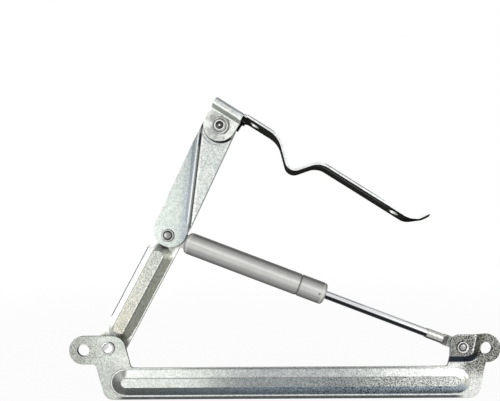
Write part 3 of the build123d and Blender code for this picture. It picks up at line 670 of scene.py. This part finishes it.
# Pieces inside the barrel, seen only when it is opened: turned steel piston, nut and seal washer, moulded
# guide and piston ring, a rubber seal, and the bronze bush pressed into the tail eye.
def plain_finish(name, size, low, high, *names, **values):
    """A finish that varies between two colours in clouds of the given size."""
    finish = Finish(name, **values)
    finish.set(Base_Color=finish.mix(finish.noise(size), low, high))
    finish.on(*names)
    return finish


plain_finish("piston_steel", 1.0, (0.45, 0.45, 0.45), (0.6, 0.6, 0.6), "seal_washer", "piston",
             "piston_nut", Metallic=1.0, Roughness=0.35)
plain_finish("guide_polymer", 1.0, (0.05, 0.05, 0.055), (0.08, 0.08, 0.085), "rod_guide", "piston_ring",
             Roughness=0.5)
rubber = plain_finish("seal_rubber", 0.8, (0.012, 0.012, 0.012), (0.03, 0.03, 0.03), "rod_seal",
                      Roughness=0.7)
plain_finish("bush_bronze", 0.8, (0.52, 0.36, 0.18), (0.66, 0.48, 0.26), "tail_eye_bush", Metallic=1.0,
             Roughness=0.35)

# Rod wiper: a moulded rubber lip pressed into the barrel's nose, which keeps dirt off the rod. It
# fills the ring between the rolled nose and the rod, and stands a little proud of the nose.
def turned(name, profile, origin, axis, steps=48):
    """A closed profile turned about an axis. Point (i, j) is the origin, plus the axis times the
    travel of profile point i, plus its radius times the unit vector at angle j across the axis."""
    travel_part, radius_part = np.array(profile).T[:, :, None, None]
    angle = np.linspace(0.0, 2*np.pi, steps, endpoint=False)[None, :, None]
    back = np.array((0.0, 1.0, 0.0))
    spoke = np.cos(angle)*back+np.sin(angle)*np.cross(np.array(axis), back)
    grid = (np.array(origin)+travel_part*np.array(axis)+radius_part*spoke)/1000
    row, column = np.meshgrid(np.arange(len(profile)), np.arange(steps), indexing="ij")
    next_row, next_column = (row+1) % len(profile), (column+1) % steps
    quad = [(row, column), (next_row, column), (next_row, next_column), (row, next_column)]
    faces = np.stack([i*steps+j for i, j in quad], axis=-1).reshape(-1, 4)
    mesh = bpy.data.meshes.new(name)
    mesh.from_pydata(grid.reshape(-1, 3).tolist(), [], faces.tolist())
    mesh.polygons.foreach_set("use_smooth", [True]*len(faces))
    piece = bpy.data.objects.new(name, mesh)
    bpy.context.scene.collection.objects.link(piece)
    return piece


# travel past the barrel's nose, and radius
wiper_lip = [(-0.9, 4.4), (-0.2, 4.3), (0.3, 4.1), (0.65, 4.06), (0.8, 4.25), (0.7, 4.6), (0.45, 4.95),
             (0.1, 5.12), (-0.9, 5.12)]
wiper = turned("rod_wiper", wiper_lip, spring_axis+line*nose_end, line)
wiper.data.materials.append(rubber.material)
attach(wiper, "barrel")

# The camera looks straight along +Y at the pressed side. It stood about 387 mm off, level with the
# middle of the linkage, and the picture was cropped from a wider one, which the lens shift repeats.
# a pixel is a millimetre at the sheet's front face, so the frame's width is the same in both
frame_width = 500
off_axis = (-25, 39.5)
view_centre = Vector((-0.0091, -sheet/1000, 0.1093))
view_distance = 0.387
sensor = 36.0
camera_data = bpy.data.cameras.new("camera")
camera_data.sensor_width = sensor
camera_data.lens = sensor*view_distance*1000/frame_width
camera_data.shift_x = off_axis[0]/frame_width
camera_data.shift_y = off_axis[1]/frame_width
camera_data.clip_start = 0.01
camera = bpy.data.objects.new("camera", camera_data)
camera.location = view_centre-Vector((0.0, view_distance, 0.0))
camera.rotation_euler = (math.radians(90), math.radians(0.33), 0)
bpy.context.scene.collection.objects.link(camera)
bpy.context.scene.camera = camera
bpy.context.scene.view_settings.view_transform = "Standard"

# Studio: white paper under the part, a white surround, and soft lamps to the left, right and rear.
# The paper is seen and mirrored mostly as plain white, and the rest of it keeps the part's shadow.
half_width = 1.6
floor_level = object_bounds()[0][2]-0.0002
floor_mesh = bpy.data.meshes.new("floor")
floor_corners = [(x, y, floor_level) for x, y in ((-half_width, -half_width), (half_width, -half_width),
                                                  (half_width, half_width), (-half_width, half_width))]
floor_mesh.from_pydata(floor_corners, [], [(0, 1, 2, 3)])
floor = bpy.data.objects.new("floor", floor_mesh)
bpy.context.scene.collection.objects.link(floor)
paper = plain_finish("floor_paper", 300.0, (0.90, 0.90, 0.90), (0.92, 0.92, 0.92), Roughness=0.9,
                     Specular_IOR_Level=0.0)


def seen(tree):
    """1 for rays from the camera and for mirrored and transmitted rays, and 0 for the light itself."""
    rays = tree.nodes.new("ShaderNodeLightPath")
    direct, mirrored, transmitted = [Socket(tree, rays.outputs[name]) for name in
                                     ("Is Camera Ray", "Is Glossy Ray", "Is Transmission Ray")]
    return direct.larger(mirrored).larger(transmitted)


def blend_shaders(factor, first, second):
    """The first shader where the factor is 0, and the second where it is 1."""
    node = paper.add("ShaderNodeMixShader", Fac=factor)
    paper.tree.links.new(first.outputs[0], node.inputs[1])
    paper.tree.links.new(second.outputs[0], node.inputs[2])
    return node


white_share = 0.94
glow = paper.add("ShaderNodeEmission")
clear = paper.add("ShaderNodeBsdfTransparent")
lit = blend_shaders(seen(paper.tree)*white_share, paper.shader, glow)
faded = blend_shaders(paper.reach((0.0, 0.0, 1000*floor_level)).ramp(500.0, 1400.0), lit, clear)
paper.tree.links.new(faded.outputs[0], paper.tree.nodes["Material Output"].inputs["Surface"])
floor_mesh.materials.append(paper.material)

ambient = 0.25
world = bpy.data.worlds.new("surround")
world.use_nodes = True
bpy.context.scene.world = world
background = world.node_tree.nodes["Background"]
background.inputs["Color"].default_value = (1, 1, 1, 1)
strength = seen(world.node_tree)*(1-ambient)+ambient
world.node_tree.links.new(strength.link, background.inputs["Strength"])


def softbox(name, place, target, width, height, brightness):
    """A rectangular lamp whose face has the given brightness, where 1 is the white surround."""
    data = bpy.data.lights.new(name, "AREA")
    data.shape = "RECTANGLE"
    data.size = width
    data.size_y = height
    data.energy = brightness*math.pi*width*height
    lamp = bpy.data.objects.new(name, data)
    bpy.context.scene.collection.objects.link(lamp)
    lamp.location = place
    aim = Vector(target)-Vector(place)
    lamp.rotation_euler = aim.to_track_quat("-Z", "Y").to_euler()


softbox("left_softbox", (-1.1, -0.95, 0.2), (0, 0, 0.1), 0.9, 0.7, 5.0)
softbox("right_softbox", (1.15, -0.95, 0.25), (0, 0, 0.1), 0.9, 0.7, 4.2)
softbox("rear_softbox", (0.0, 1.3, 0.9), (0, 0.8, -0.05), 2.4, 0.8, 1.5)
